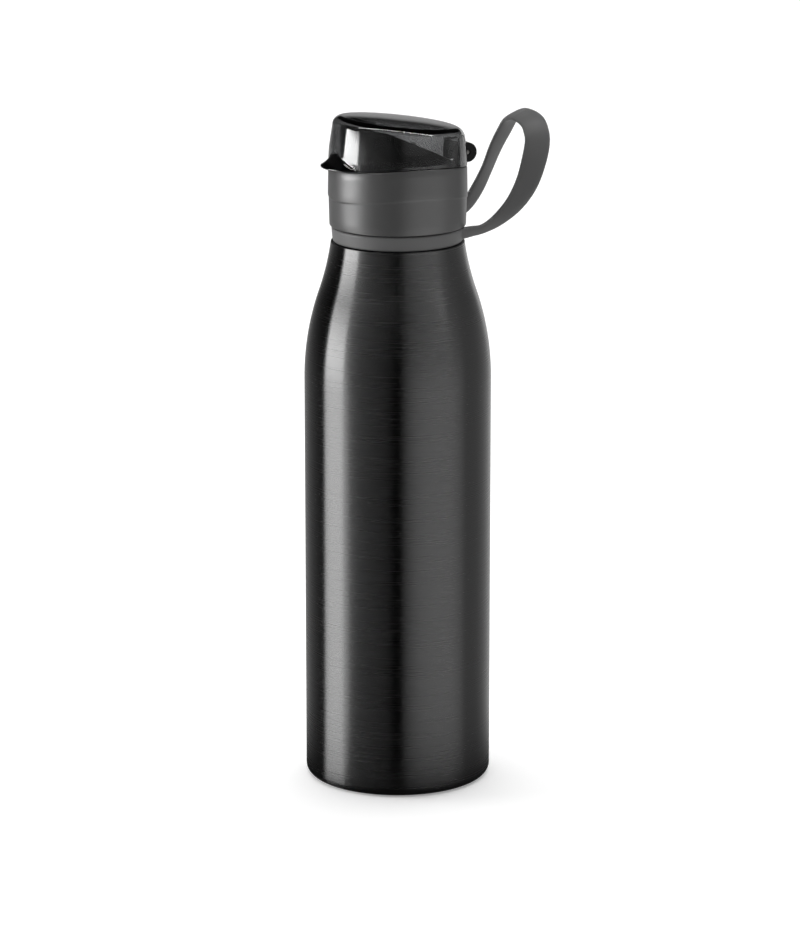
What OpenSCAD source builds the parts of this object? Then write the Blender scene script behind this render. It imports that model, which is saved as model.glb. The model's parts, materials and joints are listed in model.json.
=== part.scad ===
// Aluminium drinking bottle with a screw cap, a hinged clear lid and a soft carry loop.
// The origin is the centre of the foot. +Z is up, the drinking side faces -Y and the
// hinge and the carry loop are at +Y. Sizes are in millimetres.

/* [Body] */
// Outer diameter of the body
body_d = 66; // [58:0.2:80]
// Height at which the straight wall ends and the shoulder starts
straight_h = 145.8; // [90:0.1:220]
// Height of the shoulder, from the straight wall to the ledge under the neck
shoulder_h = 48.8; // [36:0.1:80]
// Lean of the shoulder's wall where it meets the ledge, in degrees
shoulder_lean = 8; // [0:1:12]
// Thickness of the drawn aluminium
wall = 0.9; // [0.6:0.1:1.4]
// Radius of the corner between the wall and the foot
base_corner = 3.2; // [2:0.1:6]
// Width of the flat ring that the bottle stands on
foot_w = 5; // [3:0.5:8]
// Height of the dome pressed into the base
dome_h = 4; // [2:0.5:7]

/* [Neck] */
// Outer diameter of the neck
neck_d = 40.4; // [33.5:0.1:48.5]
// Height of the neck above the ledge
neck_h = 19.9; // [18:0.1:28]
// Width of the ledge round the foot of the neck
ledge_w = 3.3; // [3.2:0.05:4.5]
// Radius of the edge between the shoulder and the ledge
ledge_round = 0.8; // [0.4:0.1:1.2]
// Radius of the bead rolled round the rim
rim_bead = 0.9; // [0.7:0.1:1]

/* [Carry strap] */
// Height of the ring round the neck
ring_h = 5.3; // [4.5:0.1:8]
// Thickness of the ring at its foot
ring_t = 2.4; // [1.8:0.1:2.7]
// How much wider the ring is at its top than at its foot
ring_flare = 0.4; // [0:0.1:0.6]
// How far the lugs that carry the loop stand out of the ring
lug_out = 0.4; // [0.2:0.1:3]
// Distance between the middles of the loop's two legs
leg_span = 26.5; // [22:0.5:34]
// Thickness of the loop's band
band_t = 2.2; // [1.6:0.1:3]
// Height of the leg at its root
root_h = 3.6; // [3:0.1:4.4]

/* [Cap] */
// Height of the crest of the arch, where the lid meets the sleeve, above the cap's deck
crest_h = 5.6; // [4.5:0.1:8]
// Wall thickness of the grey sleeve
sleeve_t = 1.6; // [1.2:0.1:2.2]
// Wall thickness of the threaded skirt
skirt_t = 1.3; // [1:0.1:2]
// Height of the screw thread's profile
thread_t = 0.8; // [0.6:0.1:1]
// Thickness of the cap's deck
deck_t = 1.8; // [1.4:0.1:2.4]
// Radius of the arch that parts the sleeve from the lid
arch_r = 118; // [80:1:200]
// How far the crest of the arch lies towards the drinking side
arch_shift = 2; // [0:0.5:4]
// Distance of the crease in the sleeve below the arch
crease_drop = 10.6; // [8:0.1:13]

/* [Drinking spout] */
// Clearance round the spout's housing, inside the collar of the cap
spout_gap = 0.6; // [0.4:0.1:2]
// Wall thickness of the spout's housing
spout_t = 1.8; // [1.4:0.1:2.4]
// Height of the housing at its back, where its slope ends
spout_back = 2.5; // [2.2:0.1:4]
// Drop from the lid's top to the slope of the housing, at the axis
slope_drop = 6.3; // [6:0.1:9]
// Length of the drinking slot
slot_l = 14; // [10:0.5:17]
// Width of the drinking slot
slot_w = 5.4; // [4:0.1:5.6]

/* [Flip lid] */
// Height of the lid's top above the crest of the arch, at the axis
lid_h = 13.8; // [12:0.1:20]
// Tilt of the lid's top towards the hinge, in degrees
lid_tilt = 6.6; // [0:0.1:9]
// Draft of the lid's wall, in degrees
lid_draft = 8.5; // [5:0.1:10]
// Thickness of the lid's wall
lid_t = 2; // [1.4:0.1:2.4]
// Radius of the rounded edge round the lid's top
lid_round = 3; // [2:0.1:4]
// Reach of the thumb tab beyond the cap's wall
tab_out = 4; // [3:0.1:5.5]
// Radius of the thumb tab's outline, seen from above
tab_r = 13.5; // [11:0.1:15]

/* [Hinge] */
// Diameter of the hinge barrel
barrel_d = 6.9; // [5.7:0.1:8.3]
// Length of the hinge barrel
barrel_l = 11; // [9:0.5:16]
// Length of the lid's own knuckle
knuckle_l = 4.6; // [3:0.1:6]
// Diameter of the hinge pin
pin_d = 2; // [1.5:0.1:2.5]
// Depth of the hinge barrel's underside below the crest of the arch
hinge_sink = 2.1; // [1.5:0.1:2.2]

/* [Hidden] */
$fn = 96;

// Clearances
soft_gap = 0.3;
fit_gap = 0.06;
seat_gap = 0.05;
pin_gap = 0.05;
lid_gap = 0.25;
thread_gap = 0.3;
eps = 0.01;
far = 200;

// Shoulder: two arcs of one radius, a convex one and a concave one, that meet in a tangent.
body_r = body_d / 2;
neck_r = neck_d / 2;
shoulder_top_r = neck_r + ledge_w;
narrowing = (body_r - shoulder_top_r) / shoulder_h;
turn_end = 1 + cos(shoulder_lean) + narrowing * sin(shoulder_lean);
shoulder_turn = atan(narrowing) + acos(turn_end / (2 * sqrt(1 + narrowing * narrowing)));
shoulder_r = shoulder_h / (2 * sin(shoulder_turn) - sin(shoulder_lean));
bend_z = straight_h + shoulder_r * sin(shoulder_turn);
bend_r = body_r - shoulder_r * (1 - cos(shoulder_turn));
ledge_edge_x = shoulder_top_r - ledge_round * (1 / cos(shoulder_lean) - tan(shoulder_lean));

// Heights, from the ledge up
ledge_z = straight_h + shoulder_h;
ring_z = ledge_z + soft_gap;
cap_z = ring_z + ring_h + soft_gap;
rim_z = ledge_z + neck_h;
gasket_t = 1.6;
deck_z = rim_z + gasket_t + 2 * seat_gap;
deck_top = deck_z + deck_t;
arch_z = deck_top + crest_h;
cap_h = arch_z - cap_z;
lid_top = arch_z + lid_h;

// Radii, from the neck out
mouth_r = neck_r - wall;
ring_in = neck_r + soft_gap;
skirt_in = neck_r + thread_t + thread_gap;
skirt_r = skirt_in + skirt_t;
sleeve_in = skirt_r + fit_gap;
cap_r = sleeve_in + sleeve_t;
collar_t = 2;
collar_in = skirt_r - collar_t;
skirt_rise = 0.8;
collar_drop = 0.7;

// Spout and its seals
spout_r = collar_in - spout_gap;
floor_z = deck_top + seat_gap;
spout_floor = 1.5;
spout_top_t = 2.2;
flat_gap = 1;
spout_flat = lid_top - lid_t - flat_gap;
slope_z = lid_top - slope_drop;
spout_slope = atan((slope_z - floor_z - spout_back) / spout_r);
vent_y = 0.3 * spout_r;
passage_r = 0.67 * spout_r;
spigot_t = 2.3;
spigot_gap = 0.2;
spigot_r = passage_r + spigot_t;
deck_hole_r = spigot_r + spigot_gap;
lip_h = 1.2;
lip_out = 0.5;
ring_cord_r = 0.65;
ring_gap = 0.15;
ring_mid_r = deck_hole_r - ring_gap - ring_cord_r;
recess_rim = 1.5;
recess_t = 1.1;
slot_y = spout_r - slot_w / 2 - recess_rim - 2.4;

// Thumb tab
tab_drop = 1.5;
tab_lip = 0.5;
tab_rise = 4.4;
hollow_r = 9;
hollow_out = 3.5;

// Hinge
barrel_r = barrel_d / 2;
hinge_out = 0.3;
hinge_y = cap_r + hinge_out;
hinge_z = arch_z + barrel_r - hinge_sink;
notch_w = barrel_l + 0.8;
notch_r = barrel_r + 0.5;

// Loop: each row is [x, y, z, width of the band, lean, twist] at one place along the left
// half, measured from the pivot. The lean turns the outward side from sideways to upwards.
leg_x = leg_span / 2;
leg_in = leg_x - band_t / 2;
ring_top_r = ring_in + ring_t + ring_flare;
pivot_y = sqrt(ring_top_r * ring_top_r - leg_in * leg_in) + lug_out + soft_gap + root_h / 2;
pivot_z = ring_z + ring_h - root_h / 2;
loop_route = [
    [leg_x, 0, 0, root_h, 0, 0],
    [leg_x, 5.2, 0.9, 4.3, 0, -6],
    [leg_x * 1.02, 11.5, 3.4, 5.3, 0, 5],
    [leg_x * 1.14, 17, 8.5, 6.4, 0, 26],
    [leg_x * 1.21, 21.9, 15.5, 7.9, 2, 44],
    [leg_x * 1.15, 25.7, 23.6, 8.7, 9, 42],
    [leg_x * 0.94, 28, 30.5, 8.2, 22, 23],
    [leg_x * 0.63, 28.6, 35.3, 7.8, 45, 13],
    [leg_x * 0.31, 28.4, 37.7, 7.6, 70, 15],
    [0, 28.2, 37.5, 7.8, 90, 29]
];

// ---------------------------------------------------------------- bottle

// Half outline of the bottle, inset evenly from the outer surface
module bottle_outline(inset) {
    corner = base_corner - inset;
    difference() {
        translate([0, inset]) square([body_r - inset, straight_h - inset]);
        translate([body_r - base_corner, 0]) square(base_corner);
    }
    translate([body_r - base_corner, base_corner]) circle(corner);
    intersection() {
        translate([body_r - shoulder_r, straight_h]) circle(shoulder_r - inset);
        translate([0, straight_h - eps]) square([body_r, bend_z - straight_h + eps]);
    }
    difference() {
        translate([0, bend_z - eps]) square([bend_r, ledge_z - inset - bend_z + eps]);
        translate([bend_r + shoulder_r * cos(shoulder_turn), bend_z + shoulder_r * sin(shoulder_turn)])
            circle(shoulder_r + inset);
    }
}

// Ball whose cap is the dome in the base
module base_dome(inset) {
    dome_edge = body_r - base_corner - foot_w;
    dome_r = (dome_edge * dome_edge + dome_h * dome_h) / (2 * dome_h);
    translate([0, 0, dome_h - dome_r]) sphere(dome_r + inset, $fn = 200);
}

module bottle_shell() {
    color([0.16, 0.16, 0.17])
    difference() {
        union() {
            difference() {
                rotate_extrude($fn = 200) bottle_outline(0);
                rotate_extrude($fn = 200) bottle_outline(wall);
            }
            intersection() {
                rotate_extrude($fn = 200) bottle_outline(0);
                base_dome(wall);
                cylinder(r = body_r - base_corner, h = dome_h + wall);
            }
            translate([0, 0, ledge_z - wall]) cylinder(r = neck_r, h = neck_h + wall - rim_bead);
            translate([0, 0, rim_z - rim_bead]) rotate_extrude()
                translate([neck_r - wall / 2, 0]) circle(rim_bead);
        }
        base_dome(0);
        rotate_extrude() translate([ledge_edge_x, ledge_z - ledge_round]) difference() {
            square([2 * ledge_round, ledge_round + wall]);
            circle(ledge_round);
        }
        translate([0, 0, ledge_z - 2 * wall]) cylinder(r = mouth_r, h = neck_h + 3 * wall);
    }
}

// ---------------------------------------------------------------- carry strap

module strap_ring() {
    color([0.36, 0.36, 0.37])
    difference() {
        union() {
            translate([0, 0, ring_z])
                cylinder(r1 = ring_in + ring_t, r2 = ring_in + ring_t + ring_flare, h = ring_h);
            for (side = [-1, 1]) translate([side * leg_x - band_t / 2, 0, pivot_z - root_h / 2])
                cube([band_t, pivot_y - root_h / 2 - soft_gap, root_h]);
        }
        translate([0, 0, ring_z - 1]) cylinder(r = ring_in, h = ring_h + 2);
    }
}

// Point on a smooth curve through four values, at t from 0 to 1 between b and c
function smooth(a, b, c, d, t) =
    b + t * (c - a) / 2 + t * t * (a - 2.5 * b + 2 * c - d / 2) + t * t * t * (1.5 * (b - c) + (d - a) / 2);
function unit(v) = v / norm(v);
function mirror_row(row) = [-row[0], row[1], row[2], row[3], 180 - row[4], row[5]];

loop_steps = 3;
loop_last = len(loop_route) - 1;
function route_at(i) = i < 0 ? loop_route[0] * 2 - loop_route[1]
    : i > loop_last ? mirror_row(loop_route[2 * loop_last - i]) : loop_route[i];
half_loop = [
    for (i = [0 : loop_last - 1], s = [0 : loop_steps - 1])
        smooth(route_at(i - 1), route_at(i), route_at(i + 1), route_at(i + 2), s / loop_steps),
    loop_route[loop_last]
];

// Corners of the band's section at one row of the route, running in the direction given
function band_section(row, along) =
    let (
        lean = [cos(row[4]), 0, sin(row[4])],
        out = unit(lean - along * (lean * along)),
        back = cross(along, out),
        w_dir = back * cos(row[5]) + out * sin(row[5]),
        t_dir = out * cos(row[5]) - back * sin(row[5]),
        w = row[3] / 2,
        t = band_t / 2,
        c = 0.45,
        mid = [row[0], row[1], row[2]]
    )
    [for (p = [
        [w - c, t], [w, t - c], [w, c - t], [w - c, -t], [c - w, -t], [-w, c - t], [-w, t - c], [c - w, t]
    ])
        mid + w_dir * p[0] + t_dir * p[1]];
function place(row) = [row[0], row[1], row[2]];
function along_at(i) = i == 0 ? unit(place(half_loop[1]) - place(half_loop[0]))
    : i == len(half_loop) - 1 ? [-1, 0, 0] : unit(place(half_loop[i + 1]) - place(half_loop[i - 1]));
half_rings = [for (i = [0 : len(half_loop) - 1]) band_section(half_loop[i], along_at(i))];
function mirror_ring(ring) = [for (p = ring) [-p[0], p[1], p[2]]];
all_rings = [
    for (ring = half_rings) ring,
    for (i = [len(half_rings) - 2 : -1 : 0]) mirror_ring(half_rings[i])
];

// Closed band through a list of rings that all have as many corners
module band(rings) {
    n = len(rings[0]);
    last = len(rings) - 1;
    sides = [
        for (i = [0 : last - 1], k = [0 : n - 1])
            [(i + 1) * n + k, (i + 1) * n + (k + 1) % n, i * n + (k + 1) % n, i * n + k]
    ];
    ends = [[for (k = [0 : n - 1]) k], [for (k = [n - 1 : -1 : 0]) last * n + k]];
    polyhedron(points = [for (ring = rings, p = ring) p], faces = concat(sides, ends), convexity = 6);
}

module strap_loop() {
    set_in = 0.1;
    color([0.36, 0.36, 0.37])
    translate([0, pivot_y, pivot_z]) {
        band(all_rings);
        for (side = [-1, 1]) translate([side * leg_x, 0, 0])
            rotate([0, 90, 0]) cylinder(r = root_h / 2 - set_in, h = band_t - 2 * set_in, center = true);
    }
}

// ---------------------------------------------------------------- cap

// Everything under the arch that parts the cap from the lid, moved down by drop
module under_arch(drop) {
    translate([0, -arch_shift, arch_z - arch_r]) rotate([0, 90, 0])
        cylinder(r = arch_r - drop, h = far, center = true, $fn = 400);
}

module cap_sleeve() {
    edge = 0.4;
    foot_in = 0.3;
    crease_out = 0.25;
    step_out = 0.4;
    color([0.40, 0.40, 0.41])
    difference() {
        intersection() {
            union() {
                intersection() {
                    translate([0, 0, cap_z])
                        cylinder(r1 = cap_r - foot_in, r2 = cap_r + crease_out, h = cap_h);
                    under_arch(crease_drop);
                }
                difference() {
                    translate([0, 0, cap_z]) cylinder(r1 = cap_r + step_out, r2 = cap_r, h = cap_h);
                    under_arch(crease_drop);
                }
            }
            translate([0, 0, cap_z])
                cylinder(r1 = cap_r - foot_in - edge, r2 = cap_r - foot_in + far, h = edge + far);
            under_arch(0);
        }
        translate([0, 0, cap_z - 1]) cylinder(r = sleeve_in, h = cap_h + 2);
    }
}

module hinge_ear() {
    set_in = 0.3;
    arm_in = collar_in + set_in;
    arm_out = sqrt(skirt_r * skirt_r - barrel_l * barrel_l / 4) - set_in;
    sleeve_edge = arch_z - (cap_r + arch_shift) * (cap_r + arch_shift) / (2 * arch_r);
    translate([0, hinge_y, hinge_z]) rotate([0, 90, 0])
        cylinder(r = barrel_r, h = barrel_l, center = true);
    rotate([90, 0, 90]) linear_extrude(barrel_l, center = true)
        polygon([
            [arm_in, deck_z], [arm_out, deck_z], [arm_out, sleeve_edge + collar_drop],
            [hinge_y, hinge_z - barrel_r], [hinge_y, hinge_z],
            [hinge_y - barrel_r * cos(30), hinge_z + barrel_r * sin(30)], [arm_in, hinge_z]
        ]);
}

module cap_insert() {
    skirt_z = cap_z + skirt_rise;
    color([0.07, 0.07, 0.07])
    difference() {
        union() {
            difference() {
                intersection() {
                    translate([0, 0, skirt_z]) cylinder(r = skirt_r, h = far);
                    under_arch(collar_drop);
                }
                translate([0, 0, skirt_z - 1]) cylinder(r = skirt_in, h = deck_z - skirt_z + 1);
                translate([0, 0, deck_top]) cylinder(r = collar_in, h = far);
            }
            hinge_ear();
        }
        translate([0, 0, deck_z - 1]) cylinder(r = deck_hole_r, h = deck_t + 2);
        translate([0, hinge_y, hinge_z]) rotate([0, 90, 0]) {
            cylinder(r = pin_d / 2 + 0.01, h = far, center = true);
            cylinder(r = barrel_r + soft_gap, h = knuckle_l + 0.5, center = true);
        }
    }
}

module cap_gasket() {
    color([0.85, 0.85, 0.83])
    translate([0, 0, rim_z + seat_gap]) difference() {
        cylinder(r = skirt_in - soft_gap, h = gasket_t);
        translate([0, 0, -1]) cylinder(r = mouth_r - 1.2, h = gasket_t + 2);
    }
}

// ---------------------------------------------------------------- spout

// Half space under a plane that tilts down towards the hinge by angle and crosses the axis at height
module under_plane(height, angle) {
    translate([0, 0, height]) rotate([-angle, 0, 0]) translate([-far, -far, -2 * far]) cube(2 * far);
}

module spout_form(inset, foot) {
    intersection() {
        translate([0, 0, foot]) cylinder(r = spout_r - inset, h = far);
        under_plane(spout_flat - inset, lid_tilt);
        under_plane(slope_z - inset / cos(spout_slope), spout_slope);
    }
}

// Round-ended slot in a plane that lies parallel to the lid's top
module slot_block(l, w, from, to) {
    translate([0, 0, spout_flat]) rotate([-lid_tilt, 0, 0]) translate([0, -slot_y, from])
        linear_extrude(to - from) {
            square([l - w, w], center = true);
            for (side = [-1, 1]) translate([side * (l - w) / 2, 0]) circle(w / 2);
        }
}

module spout() {
    lip_z = deck_z - seat_gap;
    color([0.06, 0.06, 0.06])
    difference() {
        union() {
            difference() {
                spout_form(0, floor_z);
                spout_form(spout_top_t, floor_z + spout_floor);
                translate([0, 0, floor_z + spout_floor]) cylinder(r = spout_r - spout_t, h = 0.5);
            }
            translate([0, 0, lip_z - lip_h]) cylinder(r = spigot_r, h = floor_z - lip_z + lip_h + eps);
            translate([0, 0, lip_z - lip_h])
                cylinder(r1 = spigot_r - 0.2, r2 = deck_hole_r + lip_out, h = lip_h);
        }
        translate([0, 0, lip_z - 2]) cylinder(r = passage_r, h = floor_z + spout_floor + 2 - lip_z + 0.1);
        translate([0, 0, deck_z + deck_t / 2 - ring_cord_r - ring_gap]) difference() {
            cylinder(r = spigot_r + 1, h = 2 * (ring_cord_r + ring_gap));
            cylinder(r = ring_mid_r - ring_cord_r - ring_gap, h = far);
        }
        slot_block(slot_l, slot_w, -spout_top_t - 1, 1);
        slot_block(slot_l + 2 * recess_rim, slot_w + 2 * recess_rim, -recess_t, 1);
        vent_frame() {
            translate([0, 0, -4]) cylinder(r = 1, h = 6);
            for (i = [0 : 3]) rotate(45 + 90 * i) translate([2.2, 0, -4]) cylinder(r = 0.6, h = 6);
        }
    }
}

module spout_o_ring() {
    color([0.75, 0.2, 0.15])
    translate([0, 0, deck_z + deck_t / 2]) rotate_extrude() translate([ring_mid_r, 0]) circle(ring_cord_r);
}

// Frame on the spout's sloping back, where the air valve sits
module vent_frame() {
    translate([0, vent_y, slope_z - vent_y * tan(spout_slope)]) rotate([-spout_slope, 0, 0]) children();
}

module vent_valve() {
    flap_r = 3.4;
    flap_t = 0.7;
    stem_r = 0.95;
    head_r = 1.5;
    head_h = 1;
    color([0.8, 0.8, 0.78])
    vent_frame() {
        translate([0, 0, -spout_top_t - seat_gap - flap_t]) cylinder(r = flap_r, h = flap_t);
        translate([0, 0, -spout_top_t - 0.1]) cylinder(r = stem_r, h = spout_top_t + 0.2);
        translate([0, 0, seat_gap]) cylinder(r1 = head_r, r2 = 0.8, h = head_h);
    }
}

// ---------------------------------------------------------------- flip lid

// The lid's solid form, inset evenly, before the tab and the hinge: a straight foot, a
// stretch at half the draft and a cone at the whole draft
module lid_form(inset) {
    foot_top = arch_z + 1;
    half_h = 3.6;
    half_r = cap_r - half_h * tan(lid_draft / 2);
    cone_h = 14;
    intersection() {
        union() {
            translate([0, 0, cap_z]) cylinder(r = cap_r - inset, h = foot_top - cap_z);
            translate([0, 0, foot_top]) cylinder(r1 = cap_r - inset, r2 = half_r - inset, h = half_h);
            translate([0, 0, foot_top + half_h])
                cylinder(r1 = half_r - inset, r2 = half_r - inset - cone_h * tan(lid_draft), h = cone_h);
        }
        translate([0, 0, lid_top]) rotate([-lid_tilt, 0, 0]) lid_top_form(inset);
    }
}

// Form, in the plane of the tilted top, that rounds the lid's upper edge
module lid_top_form(inset) {
    edge_in = 1.26;
    round_r = max(lid_round - inset, 0.8);
    flank = 25;
    flank_h = 40;
    mid = cap_r - edge_in - inset - round_r;
    foot_x = mid + round_r * cos(flank);
    foot_z = -inset - round_r + round_r * sin(flank);
    translate([0, 0, -inset - round_r]) {
        cylinder(r = mid, h = round_r);
        rotate_extrude() translate([mid, 0]) circle(round_r);
    }
    translate([0, 0, foot_z - flank_h])
        cylinder(r1 = foot_x + eps + flank_h * tan(flank), r2 = foot_x + eps, h = flank_h);
}

// Thumb tab: a brim round its own axis, whose upper side is a hollow slope up to the wall
module thumb_tab() {
    tab_z = arch_z - tab_drop;
    hollow_z = tab_z + tab_lip + sqrt(hollow_r * hollow_r - hollow_out * hollow_out);
    translate([0, tab_r - tab_out - cap_r, 0]) rotate_extrude() difference() {
        translate([0, tab_z]) square([tab_r, tab_rise]);
        translate([tab_r + hollow_out, hollow_z]) circle(hollow_r);
        translate([tab_r - 0.1, tab_z + tab_lip - 0.1]) square(tab_rise + 1);
    }
}

module flip_lid() {
    web_t = barrel_r;
    color([0.25, 0.26, 0.28, 0.55])
    difference() {
        union() {
            difference() {
                union() {
                    lid_form(0);
                    thumb_tab();
                }
                lid_form(lid_t);
                under_arch(-lid_gap);
                translate([0, hinge_y, hinge_z]) rotate([0, 90, 0])
                    cylinder(r = notch_r, h = notch_w, center = true);
                translate([-notch_w / 2, spout_r, cap_z]) cube([notch_w, cap_r, hinge_z - cap_z]);
            }
            intersection() {
                translate([0, hinge_y, hinge_z]) {
                    rotate([0, 90, 0]) cylinder(r = barrel_r, h = knuckle_l, center = true);
                    translate([-knuckle_l / 2, -web_t, 0]) cube([knuckle_l, web_t + 0.6, notch_r + 1.2]);
                }
                union() {
                    lid_form(0);
                    translate([0, hinge_y, hinge_z]) rotate([0, 90, 0])
                        cylinder(r = barrel_r, h = knuckle_l, center = true);
                }
            }
        }
        translate([0, hinge_y, hinge_z]) rotate([0, 90, 0])
            cylinder(r = pin_d / 2 + pin_gap, h = far, center = true);
    }
}

module lid_seal() {
    side = 2 * (recess_rim - 0.4);
    plug_t = 0.6;
    nose_t = 0.8;
    plug_end = -recess_t - plug_t;
    color([0.8, 0.8, 0.78]) {
        slot_block(slot_l + side, slot_w + side, soft_gap - recess_t, flat_gap - seat_gap);
        slot_block(slot_l - 2 * soft_gap, slot_w - 2 * soft_gap, plug_end, soft_gap - recess_t);
        slot_block(slot_l - 4 * soft_gap, slot_w - 4 * soft_gap, plug_end - nose_t, plug_end);
    }
}

module hinge_pin() {
    color([0.75, 0.75, 0.77])
    translate([0, hinge_y, hinge_z]) rotate([0, 90, 0])
        cylinder(r = pin_d / 2, h = barrel_l - 0.6, center = true);
}

bottle_shell();
strap_ring();
strap_loop();
cap_sleeve();
cap_insert();
cap_gasket();
spout();
spout_o_ring();
vent_valve();
flip_lid();
lid_seal();
hinge_pin();
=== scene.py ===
# %% [markdown]
# # A screw-cap drinking bottle
# A slim aluminium bottle with a grey screw cap, a smoked clear lid over a drinking spout,
# and a soft strap: a ring round the neck with a carry loop on it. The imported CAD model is
# loaded first. It gives the places and the joints, and the pieces below are made round it.

import json
import math

import bmesh
import bpy
from mathutils import Matrix, Vector


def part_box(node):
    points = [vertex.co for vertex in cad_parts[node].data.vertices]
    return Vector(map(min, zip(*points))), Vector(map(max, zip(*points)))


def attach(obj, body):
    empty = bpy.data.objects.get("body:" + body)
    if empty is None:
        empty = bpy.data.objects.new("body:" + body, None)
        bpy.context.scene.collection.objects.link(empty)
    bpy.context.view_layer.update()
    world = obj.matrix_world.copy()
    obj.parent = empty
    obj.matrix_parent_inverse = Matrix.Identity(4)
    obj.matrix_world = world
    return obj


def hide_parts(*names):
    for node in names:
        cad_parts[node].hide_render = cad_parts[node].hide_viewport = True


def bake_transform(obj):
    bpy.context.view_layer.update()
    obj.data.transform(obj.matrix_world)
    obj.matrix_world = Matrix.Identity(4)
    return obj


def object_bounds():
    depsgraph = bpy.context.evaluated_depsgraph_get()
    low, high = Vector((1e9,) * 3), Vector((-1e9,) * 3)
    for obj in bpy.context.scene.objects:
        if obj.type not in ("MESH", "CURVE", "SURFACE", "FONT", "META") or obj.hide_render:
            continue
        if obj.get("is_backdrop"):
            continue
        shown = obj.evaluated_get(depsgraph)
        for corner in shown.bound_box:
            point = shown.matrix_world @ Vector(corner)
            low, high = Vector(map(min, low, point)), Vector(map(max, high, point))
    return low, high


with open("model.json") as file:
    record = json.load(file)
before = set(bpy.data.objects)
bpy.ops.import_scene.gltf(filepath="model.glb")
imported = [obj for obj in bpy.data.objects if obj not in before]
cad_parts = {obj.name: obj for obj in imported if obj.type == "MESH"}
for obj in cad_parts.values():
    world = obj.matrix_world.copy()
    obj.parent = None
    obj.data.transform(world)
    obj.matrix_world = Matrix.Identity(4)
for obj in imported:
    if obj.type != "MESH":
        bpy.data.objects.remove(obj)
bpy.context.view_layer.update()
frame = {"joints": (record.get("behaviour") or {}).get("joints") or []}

# %% [markdown]
# ## Small helpers
# Lengths are written in millimetres and multiplied by MM. One function turns a hex colour
# into the linear numbers that a shader reads, one adds a node with its links, and one turns
# a finished bmesh into a piece that moves with its body.

# %% Helpers
MM = 0.001
TURN = 2 * math.pi
# Faces round the large round pieces
ROUND = 192
# Points nearer than this, in metres, are one point.
MERGE = 1e-7
# Edges that turn by more degrees than this stay sharp.
SHARP = 35


def linear(hex_colour):
    parts = [int(hex_colour[i:i + 2], 16) / 255 for i in (1, 3, 5)]
    return (*[c / 12.92 if c <= 0.04045 else ((c + 0.055) / 1.055) ** 2.4 for c in parts], 1)


def add(tree, kind, settings=(), values=(), links=()):
    """Adds a node: its settings, and values and links for its inputs, by name or number."""
    node = tree.nodes.new(kind)
    for name, value in dict(settings).items():
        setattr(node, name, value)
    for key, value in dict(values).items():
        node.inputs[key].default_value = value
    for key, socket in dict(links).items():
        tree.links.new(socket, node.inputs[key])
    return node


def bare_material(name):
    material = bpy.data.materials.new(name)
    material.use_nodes = True
    material.node_tree.nodes.clear()
    print("material", name)
    return material, material.node_tree


def new_material(name, surface):
    """A material with a Principled shader whose sockets hold the values given."""
    material, tree = bare_material(name)
    shader = add(tree, "ShaderNodeBsdfPrincipled", values=surface)
    add(tree, "ShaderNodeOutputMaterial", links={"Surface": shader.outputs["BSDF"]})
    return material, tree, shader


def new_object(bm, name):
    """Writes the bmesh to an object at the origin."""
    mesh = bpy.data.meshes.new(name)
    bm.to_mesh(mesh)
    bm.free()
    thing = bpy.data.objects.new(name, mesh)
    bpy.context.scene.collection.objects.link(thing)
    return thing


def make_piece(bm, name, material, body, stands_for, sharp=SHARP):
    """A piece of the bottle, with smooth faces and sharp edges, on its body."""
    piece = new_object(bm, name)
    for face in piece.data.polygons:
        face.use_smooth = True
    piece.data.set_sharp_from_angle(angle=math.radians(sharp))
    piece.data.materials.append(material)
    if body:
        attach(piece, body)
    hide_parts(*stands_for)
    print(name, len(piece.data.polygons), "faces")
    return piece


def lathe(outline, segments=ROUND):
    """Spins an outline of (radius, height) points round the bottle's axis."""
    bm = bmesh.new()
    points = [bm.verts.new((r * MM, 0, z * MM)) for r, z in outline]
    edges = [bm.edges.new(pair) for pair in zip(points, points[1:])]
    bmesh.ops.spin(bm, geom=points + edges, cent=(0, 0, 0), axis=(0, 0, 1),
                   angle=TURN, steps=segments, use_merge=True)
    bmesh.ops.remove_doubles(bm, verts=bm.verts, dist=MERGE)
    bmesh.ops.recalc_face_normals(bm, faces=bm.faces)
    return bm


def arc(centre_r, centre_z, radius, first, last, steps):
    """Points of an arc from one angle to another, in degrees from the outward side."""
    angles = [math.radians(first + (last - first) * i / steps) for i in range(steps + 1)]
    return [(centre_r + radius * math.cos(a), centre_z + radius * math.sin(a)) for a in angles]


# %% [markdown]
# ## Forms that are joined and cut
# Some mouldings are easiest as a few plain forms that are joined, or cut from one another. Such
# forms are kept as scratch objects, because modifiers work on objects, and each result comes
# back as a bmesh.

# %% Helpers for joined forms


def evaluated(obj):
    """The object's mesh with its modifiers applied, as a bmesh. The object is removed."""
    graph = bpy.context.evaluated_depsgraph_get()
    mesh = bpy.data.meshes.new_from_object(obj.evaluated_get(graph))
    bm = bmesh.new()
    bm.from_mesh(mesh)
    bpy.data.meshes.remove(mesh)
    bpy.data.objects.remove(obj)
    return bm


def join(bm, *others):
    """Puts the other bmeshes into the first, without a cut."""
    for other in others:
        mesh = bpy.data.meshes.new("joined")
        other.to_mesh(mesh)
        other.free()
        bm.from_mesh(mesh)
        bpy.data.meshes.remove(mesh)
    return bm


def combine(obj, operation, *tools):
    """Cuts the tools from the object, or welds them to it, and returns a new scratch object."""
    for tool_bm in tools:
        tool = new_object(tool_bm, "tool")
        change = obj.modifiers.new("change", "BOOLEAN")
        change.operation, change.solver, change.object = operation, "EXACT", tool
        bpy.context.view_layer.update()
        bm = evaluated(obj)
        bpy.data.objects.remove(tool)
        obj = new_object(bm, "form")
    return obj


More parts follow.
